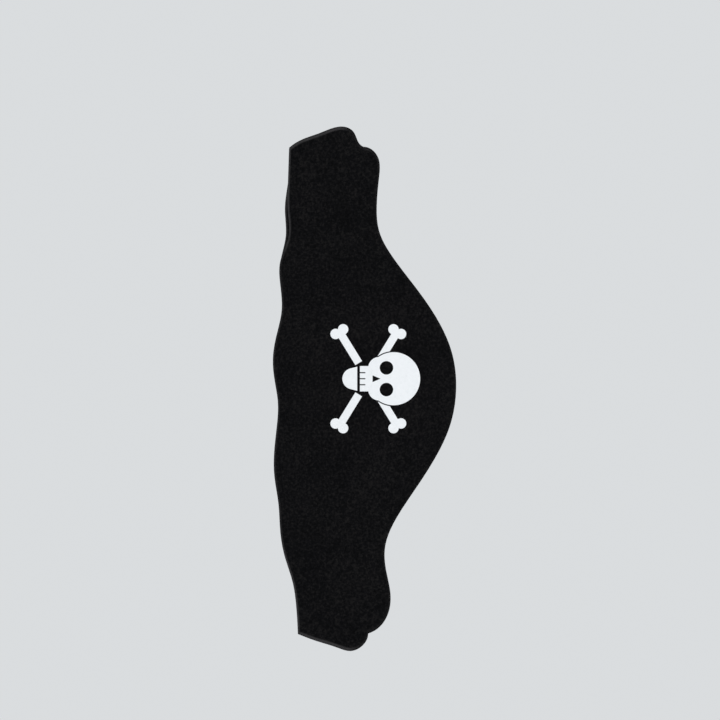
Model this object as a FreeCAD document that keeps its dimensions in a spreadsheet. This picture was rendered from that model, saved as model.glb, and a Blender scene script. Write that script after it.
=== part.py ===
import FreeCAD, Part
import math
import os
import Sketcher

# Pirate hat of black felt, lying flat: two outer panels, a two-piece crown between them, the
# stitching that joins them, and a printed skull and crossbones. Millimetres, +Z up, X along the
# hat, the printed front faces -Y. The origin is the middle of the head opening, level with the
# lowest point of the hat's lower edge.

SIZES = {
    # whole hat
    "hat_length": 437,
    "hat_height": 152,
    "felt": 1.6,
    # gaps between the felt layers
    "crown_gap": 5,
    "layer_gap": 0.3,
    "seam_gap": 0.6,
    # outer panels: flat over the crown, drawn together from inside its edge to past it
    "flat_short_of_crown": 23,
    "drawn_in_past_crown": 22,
    "back_tip_step": 1.5,
    "front_hem_rise": 2.5,
    # crown
    "crown_width": 296,
    "crown_height": 118,
    "crown_side_height": 20,
    "crown_flange": 12,
    "crown_slope": 18,
    "crown_hem_step": 1.5,
    # thread
    "thread_diameter": 0.6,
    "needle_clearance": 0.1,
    "seam_inset": 6,
    "crown_seam_pitch": 12,
    "tip_seam_pitch": 8,
    "band_stitch_length": 5,
    "band_stitch_pitch": 9,
    "band_seam_rise": 5,
    "thread_sink": 0.05,
    # print
    "print_thickness": 0.25,
    "emblem_x": -9,
    "emblem_z": 91,
    "emblem_scale": 1,
    "ink_gap": 0.9,
    "bone_width": 6.5,
    "bone_knob_width": 16,
}

# The outline of a panel as per cent of the half length and of the height, in three smooth runs
# on top and one below, which meet at the tips' notches and lower corners.
LEFT_TIP = [
    (-92, 8.6), (-95.2, 15.8), (-97.5, 25), (-99.8, 34), (-100, 39), (-98.2, 43.8), (-94, 46.7),
    (-92.4, 49.3),
]
TOP_EDGE = [
    (-92.4, 49.3), (-91.3, 54), (-87.9, 57.6), (-81, 57.9), (-69, 56.6), (-60.4, 57.9), (-51.7, 64.1),
    (-41.2, 75.3), (-27.5, 89.1), (-14.6, 97.5), (0, 100), (13.7, 96.7), (26.5, 88.2), (39.4, 76.3),
    (50.3, 66.3), (59.5, 61.3), (68.6, 61.6), (81.5, 64.1), (88.8, 60.2), (92.9, 52),
]
RIGHT_TIP = [(92.9, 52), (97.2, 49.3), (99.6, 42), (98.4, 35.5), (95.5, 22.4), (93.1, 13.4)]
LOWER_EDGE = [
    (93.1, 13.4), (82.4, 12.5), (73.2, 10.5), (64.1, 6.4), (54, 3.9), (43.9, 3), (33, 0.7), (22.9, 0.7),
    (13.7, 2.1), (4.6, 2.6), (-4.6, 0.6), (-12.8, 0), (-21.1, 2), (-30.2, 4.7), (-40.3, 3.9),
    (-48.5, 3.8), (-58.6, 6.8), (-68.6, 6.3), (-78.7, 8), (-92, 8.6),
]
RAISED_FRONT_HEM = (-72, -55)  # where the front panel's lower edge stops short of the back one's

# The printed skull and crossbones, in millimetres at a scale of 1 from the emblem's origin between
# the eyes: a plain drawing of circles, arcs and straight lines, the same on both sides.
CRANIUM = {"middle": 9, "radius": 22, "end_angle": -35}
CHEEK_BOW = (15.6, -9.2)
TEETH = {"half_width": 10.5, "top": -12, "bottom": -19}
TOOTH_GAP = {"pitch": 5, "count": 3, "width": 0.9, "height": 4.5}
EYE = {"x": 9, "z": 3, "radius": 5.6}
NOSE = [(0, -2), (-2.8, -8.5), (2.8, -8.5)]
JAW_SIDE = [(10, -21.2), (8.5, -27)]
CHIN = -33.5
# The bones cross below the eyes. Each print starts where its bone comes out from behind the face.
BONE_CROSSING = (0, -12)
BONE_REACH = (39, 24)  # from the crossing to the middle of a knob
BONES = {
    "lower_left": {"across": -1, "up": -1, "start": 15.2},
    "lower_right": {"across": 1, "up": -1, "start": 15.2},
    "upper_left": {"across": -1, "up": 1, "start": 18},
    "upper_right": {"across": 1, "up": 1, "start": 18},
}
KNOB_LOBE = 0.54  # a lobe's radius as a share of the knob's half width

os.makedirs("parts", exist_ok=True)
doc = FreeCAD.newDocument("pirate_hat")
sheet = doc.addObject("Spreadsheet::Sheet", "Sizes")
for row, (alias, value) in enumerate(SIZES.items(), start=1):
    sheet.set(f"A{row}", alias)
    sheet.set(f"B{row}", str(value))
    sheet.setAlias(f"B{row}", alias)
doc.recompute()

# Distances from the mid-plane, as expressions: the crown's inner face, the panels' inner face and
# the panels' outer face in the flat middle, and the inner face where two layers are seamed.
SEAM_FACE = "Sizes.seam_gap / 2"
CROWN_FACE = "Sizes.crown_gap / 2"
PANEL_FACE = f"({CROWN_FACE} + Sizes.felt + Sizes.layer_gap)"
OUTER_FACE = f"({PANEL_FACE} + Sizes.felt)"
BELOW = 20.0  # how far the blanks start below the hat, before the outline trims them
SIDES = {"front": -1, "back": 1}
SUB_PARTS = []


def value(expression):
    """The number that an expression on the sheet gives."""
    result = sheet.evalExpression(expression)
    return float(getattr(result, "Value", result))


def size(alias):
    return value(f"Sizes.{alias}")


def sub_part(feature, label):
    """Give a finished piece the name that its file carries."""
    feature.Label = label
    SUB_PARTS.append(feature)
    return feature


def shape_feature(name, shape):
    feature = doc.addObject("Part::Feature", name)
    feature.Shape = shape
    return feature


def extrusion(name, base, direction, length):
    """Base drawn out along a direction by an expression's length."""
    feature = doc.addObject("Part::Extrusion", name)
    feature.Base = base
    feature.DirMode = "Custom"
    feature.Dir = FreeCAD.Vector(*direction)
    feature.Solid = True
    feature.setExpression("LengthFwd", length)
    return feature


def boolean(kind, name, base, tool):
    feature = doc.addObject(f"Part::{kind}", name)
    feature.Base = base
    feature.Tool = tool
    return feature


def bound_polygon(name, corners):
    """A closed sketch in the XY plane whose corners are bound to pairs of expressions."""
    sketch = doc.addObject("Sketcher::SketchObject", name)
    points = [FreeCAD.Vector(value(x), value(y), 0) for x, y in corners]
    for index, start in enumerate(points):
        sketch.addGeometry(Part.LineSegment(start, points[(index + 1) % len(points)]))
    for index in range(len(points)):
        following = (index + 1) % len(points)
        sketch.addConstraint(Sketcher.Constraint("Coincident", index, 2, following, 1))
    for index, corner in enumerate(corners):
        for axis, expression in zip("XY", corner):
            constraint = Sketcher.Constraint(f"Distance{axis}", -1, 1, index, 1, value(expression))
            number = sketch.addConstraint(constraint)
            sketch.renameConstraint(number, f"corner{index}{axis}")
            sketch.setExpression(f"Constraints.corner{index}{axis}", expression)
    return sketch


# Outer panels ---------------------------------------------------------------------------------

def outline_run(points, half_length):
    """One smooth run of a panel's outline, in the XZ plane."""
    scale_x = half_length / 100
    scale_z = size("hat_height") / 100
    curve = Part.BSplineCurve()
    curve.interpolate([FreeCAD.Vector(x * scale_x, 0, z * scale_z) for x, z in points])
    return curve


def panel_half_length(side):
    """The back panel reaches the full length, and the front one stops a step short of it."""
    step = size("back_tip_step") if side == "front" else 0
    return size("hat_length") / 2 - step


def lower_edge(side):
    """The lower edge's points. The front panel's are higher over a stretch beside its left tip."""
    rise = 100 * size("front_hem_rise") / size("hat_height") if side == "front" else 0
    low, high = RAISED_FRONT_HEM
    return [(x, z + rise if low <= x <= high else z) for x, z in LOWER_EDGE]


def panel_outline(side):
    runs = (LEFT_TIP, TOP_EDGE, RIGHT_TIP, lower_edge(side))
    edges = [outline_run(points, panel_half_length(side)).toShape() for points in runs]
    return Part.Wire(edges)


def panel_plan(side):
    """Plan of a panel: flat in the middle, drawn in to the seam gap towards each tip."""
    sign = SIDES[side]
    bend = "(Sizes.crown_width / 2 - Sizes.flat_short_of_crown)"
    seam = "(Sizes.crown_width / 2 + Sizes.drawn_in_past_crown)"
    tip = "(Sizes.hat_length / 2 + Sizes.felt)"
    inner = [
        (f"-{tip}", SEAM_FACE), (f"-{seam}", SEAM_FACE), (f"-{bend}", PANEL_FACE),
        (bend, PANEL_FACE), (seam, SEAM_FACE), (tip, SEAM_FACE),
    ]
    outer = [(x, f"{y} + Sizes.felt") for x, y in reversed(inner)]
    return bound_polygon(f"{side}_plan", [(x, f"{sign} * ({y})") for x, y in inner + outer])


def felt_panel(side, needle_holes):
    """A panel: its bowed sheet, trimmed to the outline and pierced by the tip stitching."""
    outline = shape_feature(f"{side}_outline", panel_outline(side))
    blank = extrusion(f"{side}_blank", outline, (0, SIDES[side], 0), f"{OUTER_FACE} + Sizes.felt")
    bowed = extrusion(f"{side}_sheet", panel_plan(side), (0, 0, 1), "Sizes.hat_height + Sizes.felt")
    bowed.setExpression("LengthRev", "Sizes.felt")
    trimmed = boolean("Common", f"{side}_trimmed", bowed, blank)
    return sub_part(boolean("Cut", f"{side}_pierced", trimmed, needle_holes), f"{side}_panel")


# Crown ----------------------------------------------------------------------------------------

def dome_wire(inset, distance, closed=True):
    """The crown's outline, moved in by inset, at a distance from the mid-plane."""
    half_width = size("crown_width") / 2 - inset
    side_top = size("crown_side_height")
    centre = FreeCAD.Vector(0, distance, side_top)
    right = FreeCAD.Vector(half_width, distance, side_top)
    left = FreeCAD.Vector(-half_width, distance, side_top)
    top = FreeCAD.Vector(0, distance, size("crown_height") - inset)
    drop = FreeCAD.Vector(0, 0, side_top + BELOW)
    dome = Part.ArcOfEllipse(Part.Ellipse(right, top, centre), 0, math.pi).toShape()
    if not closed:
        return Part.Wire([dome])
    sides = [Part.makeLine(right - drop, right), Part.makeLine(left, left - drop)]
    return Part.Wire([sides[0], dome, sides[1], Part.makeLine(left - drop, right - drop)])


def dome_loft(name, side, face):
    """The raised middle of the crown, from a face at the seam to the same face in the middle."""
    sign = SIDES[side]
    foot_inset = size("crown_flange")
    top_inset = foot_inset + size("crown_slope")
    foot = shape_feature(f"{name}_foot", dome_wire(foot_inset, sign * (value(SEAM_FACE) + face)))
    top = shape_feature(f"{name}_top", dome_wire(top_inset, sign * (value(CROWN_FACE) + face)))
    loft = doc.addObject("Part::Loft", name)
    loft.Sections = [foot, top]
    loft.Solid = True
    loft.Ruled = True
    return loft


def crown_half(side, trim, needle_holes):
    """Half of the crown: a flange to sew through, a raised middle, and the hat's lower edge."""
    sign = SIDES[side]
    flange_wire = shape_feature(f"{side}_flange_wire", dome_wire(0, sign * value(SEAM_FACE)))
    flange = extrusion(f"{side}_flange", flange_wire, (0, sign, 0), "Sizes.felt")
    outside = dome_loft(f"{side}_outside", side, size("felt"))
    raised = boolean("Fuse", f"{side}_raised", flange, outside)
    hollow = boolean("Cut", f"{side}_hollow", raised, dome_loft(f"{side}_inside", side, 0))
    hemmed = boolean("Common", f"{side}_hemmed", hollow, trim)
    return sub_part(boolean("Cut", f"crown_{side}_pierced", hemmed, needle_holes), f"crown_{side}")


# Stitching ------------------------------------------------------------------------------------

def needle_rod(name, diameter):
    """A rod through two seamed layers, along Y: the thread itself, or the hole that it passes."""
    rod = doc.addObject("Part::Cylinder", name)
    rod.setExpression("Radius", f"({diameter}) / 2")
    rod.setExpression("Height", "Sizes.seam_gap + 2 * Sizes.felt")
    rod.setExpression("Placement.Base.y", "Sizes.seam_gap / 2 + Sizes.felt")
    rod.setExpression("Placement.Rotation.Angle", "90 * 1deg")
    rod.Placement.Rotation = FreeCAD.Rotation(FreeCAD.Vector(1, 0, 0), 90)
    return rod


def repeated(name, feature, places):
    """Separate copies of a small feature, one at each place."""
    copies = [feature.Shape.transformed(place.toMatrix()) for place in places]
    return shape_feature(name, Part.makeCompound(copies))


def crown_seam_places():
    seam = dome_wire(size("seam_inset"), 0, closed=False)
    count = int(seam.Length / size("crown_seam_pitch")) + 1
    return [FreeCAD.Placement(point, FreeCAD.Rotation()) for point in seam.discretize(Number=count)]


def tip_seam_places(tip, inward):
    """Needle places along a tip's slanted end, moved in from the front panel's edge."""
    scale_x = panel_half_length("front") / 100
    scale_z = size("hat_height") / 100
    widest = max(tip, key=lambda point: abs(point[0]))
    low = FreeCAD.Vector(tip[0][0] * scale_x, 0, tip[0][1] * scale_z)
    high = FreeCAD.Vector(widest[0] * scale_x, 0, widest[1] * scale_z)
    along = (high - low).normalize()
    start = low + along * size("seam_inset") + FreeCAD.Vector(inward * size("seam_inset"), 0, 0)
    pitch = size("tip_seam_pitch")
    points = [start + along * (step * pitch) for step in range(int((high - low).Length / pitch))]
    return [FreeCAD.Placement(point, FreeCAD.Rotation()) for point in points]


def band_stitch(side):
    """One stitch through a panel and the crown: a run pulled into the panel's face, and two legs."""
    sign = SIDES[side]
    radius = size("thread_diameter") / 2
    half_run = size("band_stitch_length") / 2
    outside = value(OUTER_FACE) - radius - size("thread_sink")
    inside = value(CROWN_FACE)
    left = FreeCAD.Vector(-half_run, sign * outside, 0)
    run = Part.makeCylinder(radius, 2 * half_run, left, FreeCAD.Vector(1, 0, 0))
    outward = FreeCAD.Vector(0, sign, 0)
    legs = []
    for x in (-half_run, half_run):
        foot = FreeCAD.Vector(x, sign * inside, 0)
        legs.append(Part.makeCylinder(radius, outside - inside, foot, outward))
    return run.fuse(legs).removeSplitter()


def band_places(side):
    """Stitch places along the lower edge, within the flat of the crown."""
    reach = size("crown_width") / 2 - size("crown_flange") - size("crown_slope") - size("seam_inset")
    rise = size("band_seam_rise") + size("crown_hem_step")
    edge = outline_run(lower_edge(side), panel_half_length(side))
    count = int(2 * reach / size("band_stitch_pitch")) + 1
    places = []
    for step in range(count):
        x = -reach + 2 * reach * step / (count - 1)
        upright = Part.Line(FreeCAD.Vector(x, 0, 0), FreeCAD.Vector(x, 0, 1))
        point = edge.intersect(upright)[0]
        tangent = edge.tangent(edge.parameter(FreeCAD.Vector(point.X, 0, point.Z)))[0]
        slope = math.degrees(math.atan2(-tangent.z, -tangent.x))
        turn = FreeCAD.Rotation(FreeCAD.Vector(0, -1, 0), slope)
        places.append(FreeCAD.Placement(FreeCAD.Vector(x, 0, point.Z + rise), turn))
    return places


# Print ----------------------------------------------------------------------------------------

def scaled(points):
    """Artwork points as vectors in the XZ plane, at the emblem's scale."""
    scale = size("emblem_scale")
    return [FreeCAD.Vector(x * scale, 0, z * scale) for x, z in points]


def mirrored(points):
    return [(-x, z) for x, z in reversed(points)]


def front_facing(edges):
    """The flat face inside the edges, turned to the hat's front."""
    face = Part.Face(Part.Wire(edges))
    if face.normalAt(0, 0).y > 0:
        face.reverse()
    return face


def disc(x, z, radius):
    """A round area."""
    ring = scaled([(x - radius, z), (x, z + radius), (x + radius, z), (x, z - radius)])
    halves = [Part.Arc(*ring[:3]).toShape(), Part.Arc(ring[2], ring[3], ring[0]).toShape()]
    return front_facing(halves)


def patch(points):
    """The area inside a polygon."""
    corners = scaled(points)
    return front_facing(Part.makePolygon(corners + corners[:1]).Edges)


def grown(face, distance):
    """The area inside a face's outline, moved out by a distance, with plain splines for edges."""
    edges = face.OuterWire.makeOffset2D(distance).OrderedEdges
    return front_facing([edge.Curve.toBSpline(*edge.ParameterRange).toShape() for edge in edges])


def printed(name, face):
    """A film of ink on the front panel, from a flat face in emblem coordinates."""
    face.translate(FreeCAD.Vector(size("emblem_x"), -value(OUTER_FACE), size("emblem_z")))
    shape = shape_feature(f"{name}_shape", face)
    return sub_part(extrusion(f"{name}_film", shape, (0, -1, 0), "Sizes.print_thickness"), name)


def arc(*points):
    return Part.Arc(*scaled(points)).toShape()


def skull():
    """Round cranium, cheeks and upper teeth, with eye sockets, nose and tooth gaps left open."""
    radius, turn = CRANIUM["radius"], math.radians(CRANIUM["end_angle"])
    temple = (radius * math.cos(turn), CRANIUM["middle"] + radius * math.sin(turn))
    corner = (TEETH["half_width"], TEETH["top"])
    foot = (TEETH["half_width"], TEETH["bottom"])
    right = [temple, CHEEK_BOW, corner]
    left = mirrored(right)
    dome = arc(temple, (0, CRANIUM["middle"] + radius), left[-1])
    rim = [corner, foot, mirrored([foot])[0], left[0]]
    edges = [arc(*right), dome, arc(*left)] + Part.makePolygon(scaled(rim)).Edges
    face = front_facing(Part.__sortEdges__(edges))
    gaps = []
    for number in range(TOOTH_GAP["count"]):
        x = (number - (TOOTH_GAP["count"] - 1) / 2) * TOOTH_GAP["pitch"]
        low, high = TEETH["bottom"] - 1, TEETH["bottom"] + TOOTH_GAP["height"]
        half = TOOTH_GAP["width"] / 2
        gaps.append(patch([(x - half, low), (x + half, low), (x + half, high), (x - half, high)]))
    eyes = [disc(side * EYE["x"], EYE["z"], EYE["radius"]) for side in (-1, 1)]
    return face.cut(eyes + gaps + [patch(NOSE)])


def jaw():
    """The lower jaw: straight above, rounded at the chin."""
    left = mirrored(JAW_SIDE)
    chin = arc(JAW_SIDE[-1], (0, CHIN), left[0])
    sides = Part.makePolygon(scaled(left + JAW_SIDE)).Edges
    return front_facing(Part.__sortEdges__(sides + [chin]))


def bone(across, up, start, kept_clear):
    """Half a crossed bone: a straight shaft with two round lobes at its end, clear of other ink."""
    length = math.hypot(*BONE_REACH)
    half = size("bone_width") / 2
    knob = size("bone_knob_width") / 2
    lobe = knob * KNOB_LOBE
    aside = knob - lobe
    neck = length - math.sqrt(lobe ** 2 - (aside - half) ** 2)
    notch = length + math.sqrt(lobe ** 2 - aside ** 2)
    ring = [(start, half), (neck, half), (length, knob), (notch, 0), (length, -knob), (neck, -half),
            (start, -half)]
    turn = math.atan2(BONE_REACH[1], BONE_REACH[0])
    placed = []
    for u, v in ring:
        x = u * math.cos(turn) - v * math.sin(turn)
        z = u * math.sin(turn) + v * math.cos(turn)
        placed.append((BONE_CROSSING[0] + across * x, BONE_CROSSING[1] + up * z))
    edges = [arc(*placed[1:4]), arc(*placed[3:6])]
    edges += Part.makePolygon(scaled([placed[5], placed[6], placed[0], placed[1]])).Edges
    return front_facing(Part.__sortEdges__(edges)).cut(kept_clear)


# Assembly -------------------------------------------------------------------------------------

thread_rod = needle_rod("thread_rod", "Sizes.thread_diameter")
hole_rod = needle_rod("hole_rod", "Sizes.thread_diameter + 2 * Sizes.needle_clearance")
doc.recompute()
left_places = tip_seam_places(LEFT_TIP, 1)
right_places = tip_seam_places(RIGHT_TIP[::-1], -1)
sub_part(repeated("left_tip_thread", thread_rod, left_places), "left_end_stitching")
sub_part(repeated("right_tip_thread", thread_rod, right_places), "right_end_stitching")
sub_part(repeated("crown_seam_thread", thread_rod, crown_seam_places()), "crown_seam_stitching")
tip_holes = repeated("tip_needle_holes", hole_rod, left_places + right_places)
crown_holes = repeated("crown_needle_holes", hole_rod, crown_seam_places())

crown_trim_wire = shape_feature("crown_trim_wire", panel_outline("front"))
for side in SIDES:
    felt_panel(side, tip_holes)
    trim = extrusion(f"{side}_trim", crown_trim_wire, (0, SIDES[side], 0), OUTER_FACE)
    trim.setExpression("Placement.Base.z", "Sizes.crown_hem_step")
    crown_half(side, trim, crown_holes)
    stitch = shape_feature(f"{side}_band_stitch", band_stitch(side))
    sub_part(repeated(f"{side}_band_thread", stitch, band_places(side)), f"{side}_band_stitching")

skull_face, jaw_face = skull(), jaw()
kept_clear = [grown(face, size("ink_gap")) for face in (skull_face.Faces[0], jaw_face)]
for place, values in BONES.items():
    printed(f"bone_print_{place}", bone(kept_clear=kept_clear, **values))
printed("skull_print", skull_face)
printed("jaw_print", jaw_face)
doc.recompute()

for feature in doc.Objects:
    if "Invalid" in feature.State or "Error" in feature.State:
        raise RuntimeError(f"{feature.Name} failed: {feature.State}")
for feature in SUB_PARTS:
    shape = feature.Shape
    if shape.isNull() or not shape.isValid() or not shape.Solids:
        raise RuntimeError(f"{feature.Label} has no valid solid")
for feature in SUB_PARTS:
    feature.Shape.exportStep(f"parts/{feature.Label}.step")
    print(feature.Label, len(feature.Shape.Solids), round(feature.Shape.Volume, 2))
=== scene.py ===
import math

import bmesh
import bpy
import numpy as np
from mathutils import Matrix, Vector
from mathutils.geometry import delaunay_2d_cdt


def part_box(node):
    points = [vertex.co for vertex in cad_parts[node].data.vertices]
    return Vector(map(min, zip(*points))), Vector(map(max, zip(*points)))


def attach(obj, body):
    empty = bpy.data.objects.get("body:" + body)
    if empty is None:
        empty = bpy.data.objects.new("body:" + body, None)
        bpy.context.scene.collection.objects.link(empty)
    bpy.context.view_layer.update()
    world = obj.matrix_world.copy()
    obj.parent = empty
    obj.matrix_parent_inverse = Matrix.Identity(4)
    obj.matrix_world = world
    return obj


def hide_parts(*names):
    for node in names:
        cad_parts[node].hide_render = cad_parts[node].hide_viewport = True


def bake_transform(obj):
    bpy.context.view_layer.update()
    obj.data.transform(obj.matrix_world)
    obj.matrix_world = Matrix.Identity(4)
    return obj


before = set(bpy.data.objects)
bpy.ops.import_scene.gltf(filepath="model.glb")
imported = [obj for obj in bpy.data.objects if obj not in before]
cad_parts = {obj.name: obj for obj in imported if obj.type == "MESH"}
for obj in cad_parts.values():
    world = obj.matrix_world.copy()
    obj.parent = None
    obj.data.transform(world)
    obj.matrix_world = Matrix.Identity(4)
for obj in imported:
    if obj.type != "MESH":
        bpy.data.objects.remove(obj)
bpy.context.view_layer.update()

# A black felt pirate hat, lying flat. Metres, +Z up, X along the hat, the front faces -Y.
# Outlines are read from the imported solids, and the felt is rebuilt on them as soft sheets.

MM = 0.001
FELT = 1.6 * MM               # the cloth's thickness
RIM_STEPS = 7                 # rings round a cut edge
RIM_BULGE = 0.62              # how round a cut edge is: 1 is a half circle
PRESSED_RIM = 2.6             # the same for the panels, whose edges are pressed soft and wide
STITCH_RISE, STITCH_SINK = 1.2, 0.95  # in thread radii, from the felt's face
NORMAL_SPREAD = 3             # points each way over which a wide rim's direction is averaged
SHEET_GRID = 3.5 * MM
EDGE_STEP = 1.2 * MM

crown_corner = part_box("crown_front")[1]
CROWN_HALF = crown_corner.x
CROWN_TOP = crown_corner.z
CROWN_SIDE = 20 * MM          # height where the crown's straight sides end
BELOW_HEM = -50 * MM          # below everything, where the fan of crown wedges starts
FAN_INSET = 5 * MM            # how far inside the crown's outline the fan's corners lie
FAN_ANGLES = (35, 65)         # and where, round the quarter of its dome
SEAM_MID = 1.15 * MM          # mid-felt distance from the mid-plane where two panels are seamed
CROWN_SEAM_MID = 0.86 * MM    # the same where the crown halves are pulled together
CROWN_MID = 3.3 * MM          # the same in the crown's raised middle
PANEL_MID = 5.2 * MM          # in the panels' middle, outside the crown
FLANGE_MID = 2.6 * MM         # and where the panels lie against the crown's sewn edge
TIP_LIFT = 1.6 * MM           # how far the tips, the hem's puckers and the ripples leave the plane
PUCKER = 0.55 * MM
RIPPLE = 0.35 * MM

INK_FILM = 0.25 * MM
INK_GRID = 2.5 * MM
INK_STEP = 0.5 * MM
THREAD_RADIUS = 0.3 * MM
PLY_OFFSET, PLY_RADIUS = 0.45, 0.6  # of a thread's two plies, in thread radii
BAND_STITCH = {"length": 4.5 * MM, "pitch": 7.5 * MM}
CROWN_STITCH = {"length": 4 * MM, "pitch": 6 * MM}
END_STITCH = {"length": 4.5 * MM, "pitch": 6.5 * MM}
BAND_INSET = 6.5 * MM         # from the panel's lower edge to its stitches
CROWN_SEAM_INSET = 6 * MM     # from the crown's edge to its stitches

FELT_DARK = (0.0013, 0.0013, 0.0016)
FELT_MIDDLE = (0.0032, 0.0031, 0.0037)
FELT_LIGHT = (0.0100, 0.0092, 0.0092)
# painted highlight: the lit tone of the lower cut edges and tips, with a little edge wear
FELT_WEAR_AND_HIGHLIGHT = (0.052, 0.049, 0.050)

FRONT, BACK = -1, 1
SIDE_NAMES = {FRONT: "front", BACK: "back"}
HANDS = ((-1, "left"), (1, "right"))
STUDIO_GREY = (0.70, 0.72, 0.735)
FLOOR_GREY = (0.78, 0.80, 0.815)
FLOOR_LEVEL = -0.3
FLOOR_HALF, FLOOR_FRONT, FLOOR_BACK = 2.4, -2.6, 0.42
VIEW_MIDDLE = (-0.0245, 0.0721)  # x and z of the point that the camera faces
LIGHTS_AIM = (0, 0, 0.07)


# Numbers and outlines ---------------------------------------------------------------------------

def smooth(value, low, high):
    """0 below low, 1 above high, and an S curve between."""
    share = np.clip((value - low) / (high - low), 0, 1)
    return share * share * (3 - 2 * share)


def facing_loops(node, sign):
    """Closed (x, z) loops round a CAD node's faces that look along sign * Y, longest first."""
    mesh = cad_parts[node].data
    open_edges = set()
    for polygon in mesh.polygons:
        if polygon.normal.y * sign < 0.3:
            continue
        corners = []
        for index in polygon.vertices:
            place = mesh.vertices[index].co
            corner = (round(place.x * 1e6), round(place.z * 1e6))
            if corner not in corners:
                corners.append(corner)
        for start, end in zip(corners, corners[1:] + corners[:1]):
            if (end, start) in open_edges:
                open_edges.remove((end, start))
            else:
                open_edges.add((start, end))
    following = dict(open_edges)
    loops = []
    while following:
        start, corner = following.popitem()
        loop = [start]
        while corner != start and corner in following:
            loop.append(corner)
            corner = following.pop(corner)
        loops.append(np.array(loop, float) * 1e-6)
    loops = [loop for loop in loops if len(loop) > 2]
    return sorted(loops, key=loop_length, reverse=True)


def loop_length(loop):
    return np.linalg.norm(np.roll(loop, -1, axis=0) - loop, axis=1).sum()


def loop_area(loop):
    following = np.roll(loop, -1, axis=0)
    return (loop[:, 0] * following[:, 1] - following[:, 0] * loop[:, 1]).sum() / 2


def evenly(points, step):
    """Points at an even step along an open line, its first point kept and its last left out."""
    lengths = np.linalg.norm(np.diff(points, axis=0), axis=1)
    along = np.concatenate([[0], np.cumsum(lengths)])
    count = max(1, round(along[-1] / step))
    places = np.linspace(0, along[-1], count + 1)[:-1]
    return np.column_stack([np.interp(places, along, points[:, axis]) for axis in (0, 1)])


def resampled(loop, step, sharp=math.radians(24)):
    """The loop, anticlockwise in (x, z), with even steps between its sharp corners."""
    if loop_area(loop) < 0:
        loop = loop[::-1]
    before = loop - np.roll(loop, 1, axis=0)
    after = np.roll(loop, -1, axis=0) - loop
    cross = before[:, 0] * after[:, 1] - before[:, 1] * after[:, 0]
    turn = np.abs(np.arctan2(cross, (before * after).sum(axis=1)))
    corners = list(np.nonzero(turn > sharp)[0]) or [0]
    loop = np.roll(loop, -corners[0], axis=0)
    ends = [corner - corners[0] for corner in corners] + [len(loop)]
    closed = np.vstack([loop, loop[:1]])
    return np.vstack([evenly(closed[a:b + 1], step) for a, b in zip(ends, ends[1:])])


def inward(loop, spread=0):
    """Unit vectors that point into an anticlockwise loop, averaged over spread points each way."""
    along = np.roll(loop, -1, axis=0) - np.roll(loop, 1, axis=0)
    normal = np.column_stack([-along[:, 1], along[:, 0]])
    normal /= np.linalg.norm(normal, axis=1)[:, None]
    normal = sum(np.roll(normal, shift, axis=0) for shift in range(-spread, spread + 1))
    return normal / np.linalg.norm(normal, axis=1)[:, None]


def inside(points, loops):
    """Which points lie inside an odd number of the loops."""
    result = np.zeros(len(points), bool)
    for loop in loops:
        following = np.roll(loop, -1, axis=0)
        for (x0, z0), (x1, z1) in zip(loop, following):
            if z0 == z1:
                continue
            spans = (z0 > points[:, 1]) != (z1 > points[:, 1])
            crossing = x0 + (points[:, 1] - z0) * (x1 - x0) / (z1 - z0)
            result ^= spans & (points[:, 0] < crossing)
    return result


# Surfaces ---------------------------------------------------------------------------------------

def dome(x, z):
    """0 at the middle of the head opening, 1 on the crown's outline, and more outside it."""
    height = np.maximum(z - CROWN_SIDE, 0) / (CROWN_TOP - CROWN_SIDE)
    return np.hypot(x / CROWN_HALF, height)


def lie(x, z):
    """How the soft hat lies off its mid-plane: tips that lift a little, and puckers at the hem."""
    tips = TIP_LIFT * smooth(np.abs(x), 0.13, 0.22) * np.sin(x * 31 + 1.1)
    hem = smooth(-z, -0.03, -0.004)
    puckers = PUCKER * hem * np.sin(x * 95 + 0.8) * smooth(-np.abs(x), -0.19, -0.15)
    ripple = RIPPLE * np.sin(x * 43 + z * 37) * np.cos(z * 61 - x * 17 + 0.6)
    return tips + puckers + ripple


def panel_surface(side):
    def surface(x, z):
        over_crown = 1 - smooth(dome(x, z), 0.72, 0.96)
        over_flange = 1 - smooth(dome(x, z), 1.0, 1.2)
        out = (PANEL_MID - FLANGE_MID) * over_crown + (FLANGE_MID - SEAM_MID) * over_flange
        return side * (SEAM_MID + out) + lie(x, z)
    return surface


def crown_surface(side):
    def surface(x, z):
        bulge = 1 - smooth(dome(x, z), 0.70, 0.94)
        return side * (CROWN_SEAM_MID + (CROWN_MID - CROWN_SEAM_MID) * bulge) + lie(x, z)
    return surface


# Sheets -----------------------------------------------------------------------------------------

def mesh_object(name, points, faces, material):
    mesh = bpy.data.meshes.new(name)
    mesh.from_pydata([tuple(point) for point in points], [], [tuple(face) for face in faces])
    mesh.update()
    mesh.polygons.foreach_set("use_smooth", [True] * len(mesh.polygons))
    thing = bpy.data.objects.new(name, mesh)
    bpy.context.scene.collection.objects.link(thing)
    mesh.materials.append(material)
    return thing


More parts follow.
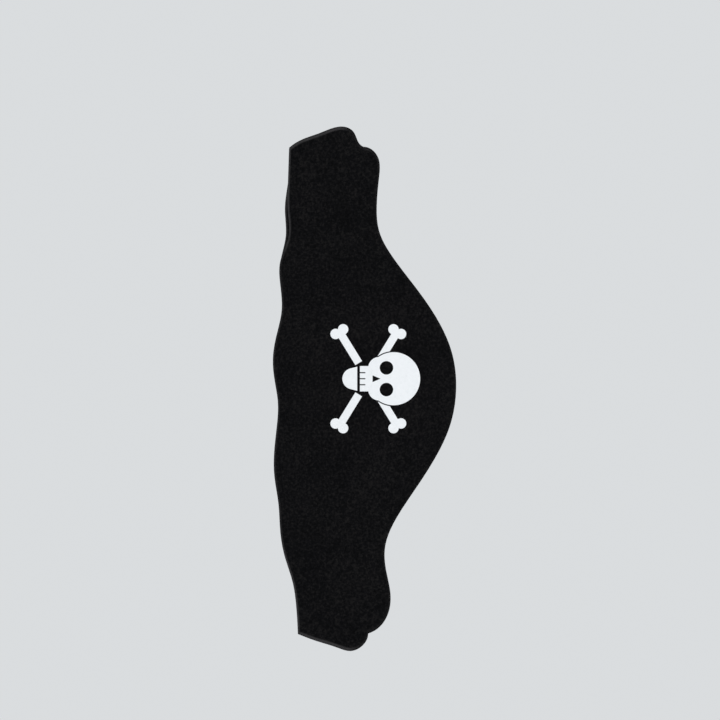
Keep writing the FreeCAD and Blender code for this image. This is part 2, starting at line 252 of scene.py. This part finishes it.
def filled(rings, grid):
    """Triangles that fill an outline with its holes, on its own points and a grid between them."""
    low, high = rings[0].min(axis=0), rings[0].max(axis=0)
    rows = []
    for row, z in enumerate(np.arange(low[1], high[1], grid * 0.87)):
        shift = grid / 2 * (row % 2)
        across = np.arange(low[0] + shift, high[0], grid)
        rows.append(np.column_stack([across, np.full(len(across), z)]))
    free = np.vstack(rows) if rows else np.zeros((0, 2))
    free = free[inside(free, rings)]
    border = np.vstack(rings)
    near = [np.hypot(*(border - point).T).min() > grid * 0.55 for point in free]
    free = free[np.array(near, bool)] if len(free) else free
    points = np.vstack([border, free])
    edges = []
    first = 0
    for ring in rings:
        edges += [(first + i, first + (i + 1) % len(ring)) for i in range(len(ring))]
        first += len(ring)
    found = delaunay_2d_cdt([Vector(point) for point in points], edges, [], 0, 1e-9)
    corners = np.array([tuple(vertex) for vertex in found[0]])
    triangles = np.array(found[2])
    keep = inside(corners[triangles].mean(axis=1), rings)
    return corners, triangles[keep], len(border)


def edge_wear_and_highlight(ring, normal):
    """How much painted highlight, with a little wear, each point of a cut edge gets: most on lower edges,
    where light from below falls, and towards the tips.
    """
    # lower edges face the light from below, so they get the most painted highlight
    lit_low_edge = 0.15 + 0.85 * smooth(normal[:, 1], -0.5, 0.1)
    lit_low_edge *= 0.4 + 0.6 * smooth(np.abs(ring[:, 0]), 0.10, 0.16)
    return lit_low_edge


def sheet_piece(name, loops, surface, material, thickness=FELT, grid=SHEET_GRID, step=EDGE_STEP,
                bulge=RIM_BULGE, spread=0):
    """A closed sheet of even thickness with rounded cut edges, from its outline and its holes."""
    outline = resampled(loops[0], step)
    holes = [resampled(loop, step)[::-1] for loop in loops[1:]]
    rings = [outline] + holes
    half = thickness / 2
    inward_of = [inward(ring, spread) for ring in rings]
    inset = [ring + normal * half * bulge for ring, normal in zip(rings, inward_of)]
    flat, triangles, border = filled(inset, grid)
    count = len(flat)
    middle = surface(flat[:, 0], flat[:, 1])
    front = np.column_stack([flat[:, 0], middle - half, flat[:, 1]])
    back = np.column_stack([flat[:, 0], middle + half, flat[:, 1]])
    points = [front, back]
    rim_light_and_wear = [np.zeros(2 * count)]
    a, b, c = triangles.T
    u, v = flat[b] - flat[a], flat[c] - flat[a]
    turned = u[:, 0] * v[:, 1] - u[:, 1] * v[:, 0] < 0
    triangles[turned] = triangles[turned][:, ::-1]
    faces = [tuple(t) for t in triangles] + [tuple(t[::-1] + count) for t in triangles]
    total = 2 * count
    first = 0
    for ring, moved, normal in zip(rings, inset, inward_of):
        size = len(ring)
        # painted highlight, with a little wear, along this cut edge
        light_and_wear = edge_wear_and_highlight(ring, normal)
        rows = [np.arange(first, first + size)]
        for rim_step in range(1, RIM_STEPS):
            angle = math.pi * (rim_step / RIM_STEPS - 0.5)
            place = ring + (moved - ring) * (1 - math.cos(angle))
            level = surface(place[:, 0], place[:, 1]) + half * math.sin(angle)
            points.append(np.column_stack([place[:, 0], level, place[:, 1]]))
            rim_light_and_wear.append(light_and_wear * math.sqrt(math.cos(angle)))
            rows.append(np.arange(total, total + size))
            total += size
        rows.append(np.arange(first + count, first + count + size))
        for low, high in zip(rows, rows[1:]):
            for i in range(size):
                j = (i + 1) % size
                faces.append((low[j], low[i], high[i], high[j]))
        first += size
    piece = mesh_object(name, np.vstack(points), faces, material)
    # the painted edge highlight, with a little wear, stored on the points
    edge_highlight_and_wear = piece.data.attributes.new("edge_highlight_and_wear", "FLOAT", "POINT")
    edge_highlight_and_wear.data.foreach_set("value", np.concatenate(rim_light_and_wear))
    mesh = bmesh.new()
    mesh.from_mesh(piece.data)
    bmesh.ops.recalc_face_normals(mesh, faces=mesh.faces)
    mesh.to_mesh(piece.data)
    mesh.free()
    return piece


def part_of(piece, name, planes):
    """A closed copy of the part of a piece that lies on the positive side of each plane."""
    copy = bpy.data.objects.new(name, piece.data.copy())
    copy.data.name = name
    bpy.context.scene.collection.objects.link(copy)
    mesh = bmesh.new()
    mesh.from_mesh(copy.data)
    for point, normal in planes:
        geometry = mesh.verts[:] + mesh.edges[:] + mesh.faces[:]
        bmesh.ops.bisect_plane(
            mesh, geom=geometry, plane_co=point, plane_no=normal, dist=1e-7, clear_inner=True)
        border = [edge for edge in mesh.edges if edge.is_boundary]
        for edge in border:
            edge.smooth = False
        caps = bmesh.ops.triangle_fill(mesh, edges=border, use_beauty=True, use_dissolve=True)
        for face in caps["geom"]:
            if isinstance(face, bmesh.types.BMFace):
                face.smooth = False
    mesh.to_mesh(copy.data)
    mesh.free()
    return copy


def discard(piece):
    bpy.data.objects.remove(piece)


# Thread -----------------------------------------------------------------------------------------

def stitch_geometry(centre, along, out, length, radius, first):
    """Two twisted plies that leave the cloth, run along it and go back in."""
    rings, corners = 9, 6
    half_turns = 3
    points, faces = [], []
    across = along.cross(out)
    for ply in (0, 1):
        start = first + len(points)
        for ring in range(rings):
            share = ring / (rings - 1)
            turn = share * math.pi * half_turns + ply * math.pi
            middle = centre + along * (share - 0.5) * length
            lift = radius * (STITCH_RISE * math.sin(share * math.pi) ** 0.5 - STITCH_SINK)
            middle = middle + out * lift
            middle = middle + (across * math.cos(turn) + out * math.sin(turn)) * radius * PLY_OFFSET
            for corner in range(corners):
                angle = 2 * math.pi * corner / corners
                aside = across * math.cos(angle) + out * math.sin(angle)
                points.append(middle + aside * radius * PLY_RADIUS)
        for ring in range(rings - 1):
            for corner in range(corners):
                here = start + ring * corners
                beside = (corner + 1) % corners
                there = here + corners
                faces.append((here + corner, here + beside, there + beside, there + corner))
        faces.append(tuple(start + corner for corner in range(corners))[::-1])
        faces.append(tuple(start + (rings - 1) * corners + corner for corner in range(corners)))
    return points, faces


def stitch_row(name, line, surface, side, material, length, pitch):
    """A row of running stitches along an (x, z) line, on the outside of a felt surface."""
    places = evenly(line, pitch)
    points, faces = [], []
    for place, following in zip(places, places[1:]):
        run = following - place
        run = run / np.linalg.norm(run)
        level = surface(place[0], place[1]) + side * FELT / 2
        ahead = surface(*(place + run * MM)) + side * FELT / 2
        along = Vector((run[0], (ahead - level) / MM, run[1])).normalized()
        out = Vector((0, side, 0))
        out = (out - along * out.dot(along)).normalized()
        centre = Vector((place[0], level, place[1]))
        stitch = stitch_geometry(centre, along, out, length, THREAD_RADIUS, len(points))
        points += stitch[0]
        faces += stitch[1]
    return mesh_object(name, points, faces, material)


# Materials --------------------------------------------------------------------------------------

class Nodes:
    """Short calls to build one material's node tree."""

    def __init__(self, name):
        self.material = bpy.data.materials.new(name)
        self.material.use_nodes = True
        self.tree = self.material.node_tree
        self.shader = self.tree.nodes["Principled BSDF"]

    def add(self, kind, inputs=(), **settings):
        node = self.tree.nodes.new(kind)
        for key, setting in settings.items():
            setattr(node, key, setting)
        for key, source in dict(inputs).items():
            if isinstance(source, bpy.types.NodeSocket):
                self.tree.links.new(source, node.inputs[key])
            else:
                node.inputs[key].default_value = source
        return node

    def noise(self, where, scale, detail=4.0, roughness=0.6, distortion=0.0):
        inputs = {"Vector": where, "Scale": scale, "Detail": detail, "Roughness": roughness,
                  "Distortion": distortion}
        return self.add("ShaderNodeTexNoise", inputs).outputs["Fac"]

    def ramp(self, factor, stops):
        node = self.add("ShaderNodeValToRGB", {"Fac": factor})
        elements = node.color_ramp.elements
        for index, (place, colour) in enumerate(stops):
            element = elements[index] if index < 2 else elements.new(place)
            element.position = place
            element.color = (*colour, 1)
        return node.outputs["Color"]

    def maths(self, operation, first, second):
        return self.add("ShaderNodeMath", {0: first, 1: second}, operation=operation).outputs[0]

    def place(self):
        return self.add("ShaderNodeTexCoord").outputs["Object"]

    def bump(self, height, distance, strength, normal=None):
        inputs = {"Height": height, "Distance": distance, "Strength": strength}
        if normal is not None:
            inputs["Normal"] = normal
        return self.add("ShaderNodeBump", inputs).outputs["Normal"]

    def set(self, **inputs):
        for key, source in inputs.items():
            socket = self.shader.inputs[key.replace("_", " ")]
            if isinstance(source, bpy.types.NodeSocket):
                self.tree.links.new(source, socket)
            else:
                socket.default_value = source


def felt_material(name, seed):
    """Needled black felt: matted clumps and crossing fibres, with a painted highlight, and a little wear,
    on the lower cut edges and tips.
    """
    nodes = Nodes(name)
    shift = (seed, seed * 0.7, seed * 1.3)
    mapping = nodes.add("ShaderNodeMapping", {"Vector": nodes.place(), "Location": shift})
    where = mapping.outputs["Vector"]
    clumps = nodes.noise(where, 480, 2, 0.6, 0.5)
    broad = nodes.noise(where, 34, 2, 0.5)
    fibres = nodes.noise(where, 2400, 5, 0.75, 1.8)
    mixed = nodes.maths("ADD", nodes.maths("MULTIPLY", clumps, 0.7), nodes.maths("MULTIPLY", fibres, 0.3))
    mixed = nodes.maths("ADD", mixed, nodes.maths("MULTIPLY", nodes.maths("SUBTRACT", broad, 0.5), 0.16))
    black = nodes.ramp(mixed, [(0.38, FELT_DARK), (0.50, FELT_MIDDLE), (0.64, FELT_LIGHT)])
    # painted highlight on the lower cut edges and tips, with a little wear, mixed into the felt's colour
    light_and_wear = nodes.add("ShaderNodeAttribute", attribute_name="edge_highlight_and_wear").outputs["Fac"]
    patchy_highlight = nodes.maths("MULTIPLY", light_and_wear, nodes.maths("ADD", mixed, 0.35))
    colour = nodes.add("ShaderNodeMix", {0: patchy_highlight, 6: black, 7: (*FELT_WEAR_AND_HIGHLIGHT, 1)}, data_type="RGBA")
    nodes.set(Base_Color=colour.outputs[2])
    height = nodes.bump(fibres, 0.3 * MM, 0.9, nodes.bump(clumps, 0.8 * MM, 0.8))
    nodes.set(Normal=height, Roughness=0.95)
    nodes.set(Specular_IOR_Level=0.04, Sheen_Weight=0.02, Sheen_Roughness=0.6)
    return nodes.material


def ink_material():
    """White ink pressed into felt: even and matte, with the cloth's pile showing through."""
    nodes = Nodes("white_ink")
    where = nodes.place()
    pile = nodes.noise(where, 1500, 5, 0.7, 0.8)
    cover = nodes.noise(where, 260, 3, 0.6)
    mixed = nodes.maths("ADD", nodes.maths("MULTIPLY", pile, 0.6), nodes.maths("MULTIPLY", cover, 0.4))
    white = [(0.25, (0.60, 0.61, 0.62)), (0.42, (0.83, 0.845, 0.86)), (0.65, (0.88, 0.89, 0.905))]
    nodes.set(Base_Color=nodes.ramp(mixed, white))
    nodes.set(Normal=nodes.bump(pile, 0.12 * MM, 0.6), Roughness=0.75, Specular_IOR_Level=0.3)
    return nodes.material


def thread_material():
    """Black spun polyester thread, dull and as dark as the felt."""
    nodes = Nodes("black_thread")
    where = nodes.place()
    strands = nodes.noise(where, 5200, 3, 0.6)
    nodes.set(Base_Color=nodes.ramp(strands, [(0.3, (0.002, 0.002, 0.002)), (0.7, (0.006, 0.006, 0.007))]))
    nodes.set(Normal=nodes.bump(strands, 0.08 * MM, 0.7), Roughness=0.85, Specular_IOR_Level=0.15)
    return nodes.material


def pale_material(name, colour):
    nodes = Nodes(name)
    grain = nodes.noise(nodes.place(), 12, 2, 0.5)
    near = [tuple(channel * share for channel in colour) for share in (0.98, 1.0)]
    nodes.set(Base_Color=nodes.ramp(grain, [(0.3, near[0]), (0.7, near[1])]), Roughness=0.9)
    return nodes.material


# The hat ----------------------------------------------------------------------------------------

def bend(piece):
    """Bakes a piece's placement into its mesh."""
    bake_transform(piece)


def felt_panels(felt):
    """Each outer panel in two halves, cut at the middle."""
    for side in (FRONT, BACK):
        name = SIDE_NAMES[side]
        loops = facing_loops(f"{name}_panel", side)[:1]
        surface = panel_surface(side)
        whole = sheet_piece(f"{name}_whole", loops, surface, felt[name], bulge=PRESSED_RIM,
                            spread=NORMAL_SPREAD)
        for hand, label in HANDS:
            half = part_of(whole, f"{name}_felt_{label}", [((0, 0, 0), (hand, 0, 0))])
            bend(half)
            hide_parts(f"{name}_panel")
        discard(whole)


def crown_rays():
    """Corners of a fan from the middle of the head opening: straight sides, then inside the seam."""
    straight = [(CROWN_HALF, BELOW_HEM), (CROWN_HALF, CROWN_SIDE * 1.3)]
    across, up = CROWN_HALF - FAN_INSET, CROWN_TOP - CROWN_SIDE - FAN_INSET
    angles = [math.radians(degrees) for degrees in FAN_ANGLES]
    right = straight + [(across * math.cos(angle), CROWN_SIDE + up * math.sin(angle)) for angle in angles]
    return right + [(-x, z) for x, z in reversed(right)]


def crown_halves(felt):
    """Each crown half as a fan of wedges, cut along rays from the middle of the head opening."""
    rays = crown_rays()
    for side in (FRONT, BACK):
        name = SIDE_NAMES[side]
        loops = facing_loops(f"crown_{name}", side)[:1]
        whole = sheet_piece(f"crown_{name}_whole", loops, crown_surface(side), felt)
        for number, (low, high) in enumerate(zip(rays, rays[1:]), start=1):
            planes = [((0, 0, 0), (-low[1], 0, low[0])), ((0, 0, 0), (high[1], 0, -high[0]))]
            wedge = part_of(whole, f"crown_{name}_{number}", planes)
            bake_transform(wedge)
            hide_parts(f"crown_{name}")
        discard(whole)


def prints(ink):
    """The printed emblem, a thin film that follows the front panel's felt."""
    panel = panel_surface(FRONT)

    def surface(x, z):
        return panel(x, z) - FELT / 2 - INK_FILM / 2

    for node in sorted(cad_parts):
        if "_print" not in node:
            continue
        loops = facing_loops(node, FRONT)
        piece = sheet_piece(f"{node}_film", loops, surface, ink, INK_FILM, INK_GRID, INK_STEP)
        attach(piece, "front_wall")
        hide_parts(node)


def lower_line(loop, inset, reach):
    """The line a step inside a loop's lower edge, between plus and minus reach."""
    even = resampled(loop, EDGE_STEP)
    moved = even + inward(even) * inset
    low = moved[(np.abs(moved[:, 0]) < reach) & (inward(even)[:, 1] > 0.5)]
    return low[np.argsort(low[:, 0])]


def band_stitching(side, thread):
    """Stitches along a panel's lower edge, in two rows, one for each of the panel's halves."""
    name = SIDE_NAMES[side]
    outline = facing_loops(f"{name}_panel", side)[0]
    line = lower_line(outline, BAND_INSET, CROWN_HALF * 0.96)
    for hand, label in HANDS:
        half = line[line[:, 0] * hand >= 0]
        row = stitch_row(f"{name}_band_thread_{label}", half, panel_surface(side), side, thread,
                         **BAND_STITCH)
        bend(row)
        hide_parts(f"{name}_band_stitching")


def crown_stitching(side, thread):
    """Stitches round a crown half's dome, inside its edge and above the hem."""
    name = SIDE_NAMES[side]
    crown = resampled(facing_loops(f"crown_{name}", side)[0], EDGE_STEP)
    seam = crown + inward(crown) * CROWN_SEAM_INSET
    seam = seam[inward(crown)[:, 1] < 0.15]
    seam = seam[seam[:, 1] > CROWN_SIDE * 0.6]
    angle = np.arctan2(seam[:, 1], seam[:, 0])
    row = stitch_row(f"crown_seam_thread_{name}", seam[np.argsort(angle)], crown_surface(side), side,
                     thread, **CROWN_STITCH)
    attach(row, "seams")
    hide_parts("crown_seam_stitching")


def end_stitching(side, thread):
    """The stitches that close the hat's two ends, as they show on one panel."""
    name = SIDE_NAMES[side]
    for hand, label in HANDS:
        low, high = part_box(f"{label}_end_stitching")
        top_x = low.x if hand < 0 else high.x
        foot_x = high.x if hand < 0 else low.x
        ends = np.array([(foot_x, low.z), (top_x, high.z)])
        row = stitch_row(f"{label}_end_thread_{name}", ends, panel_surface(side), side, thread,
                         **END_STITCH)
        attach(row, "seams")
        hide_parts(f"{label}_end_stitching")


def stitching(thread):
    for side in (FRONT, BACK):
        band_stitching(side, thread)
        crown_stitching(side, thread)
        end_stitching(side, thread)


# Stage ------------------------------------------------------------------------------------------

def camera():
    """A long lens square to the front, rolled so that the hat's peak points right."""
    distance = 2.0
    view_width = 0.598
    camera_data = bpy.data.cameras.new("camera")
    camera_data.sensor_width = 36
    camera_data.lens = camera_data.sensor_width * distance / view_width
    thing = bpy.data.objects.new("camera", camera_data)
    bpy.context.scene.collection.objects.link(thing)
    right, up, back = Vector((0, 0, 1)), Vector((-1, 0, 0)), Vector((0, -1, 0))
    turn = Matrix((right, up, back)).transposed().to_4x4()
    x, z = VIEW_MIDDLE
    thing.matrix_world = Matrix.Translation((x, -distance, z)) @ turn
    bpy.context.scene.camera = thing


def softbox(name, place, target, size, power):
    light = bpy.data.lights.new(name, "AREA")
    light.shape = "RECTANGLE"
    light.size, light.size_y = size
    light.energy = power
    thing = bpy.data.objects.new(name, light)
    bpy.context.scene.collection.objects.link(thing)
    thing.location = place
    thing.rotation_mode = "QUATERNION"
    thing.rotation_quaternion = (Vector(target) - Vector(place)).to_track_quat("-Z", "Y")


def stage():
    plan = [(-FLOOR_HALF, FLOOR_FRONT), (FLOOR_HALF, FLOOR_FRONT), (FLOOR_HALF, FLOOR_BACK),
            (-FLOOR_HALF, FLOOR_BACK)]
    corners = [(x, y, FLOOR_LEVEL) for x, y in plan]
    floor = mesh_object("floor", corners, [(0, 1, 2, 3)], pale_material("pale_floor", FLOOR_GREY))
    world = bpy.data.worlds.new("studio")
    world.use_nodes = True
    world.node_tree.nodes["Background"].inputs["Color"].default_value = (*STUDIO_GREY, 1)
    world.node_tree.nodes["Background"].inputs["Strength"].default_value = 1.0
    bpy.context.scene.world = world
    bpy.context.scene.view_settings.view_transform = "Standard"
    softbox("key", (-0.5, -1.6, 1.3), LIGHTS_AIM, (1.2, 1.2), 8)
    softbox("hem", (0.1, -1.5, -0.1), LIGHTS_AIM, (1.4, 0.3), 4)
    softbox("rim", (0.3, 1.4, 1.2), LIGHTS_AIM, (1.0, 1.0), 7)


felts = {"front": felt_material("front_felt", 1.0), "back": felt_material("back_felt", 2.0)}
crown_felt = felt_material("crown_felt", 3.0)
felt_panels(felts)
crown_halves(crown_felt)
prints(ink_material())
stitching(thread_material())
camera()
stage()
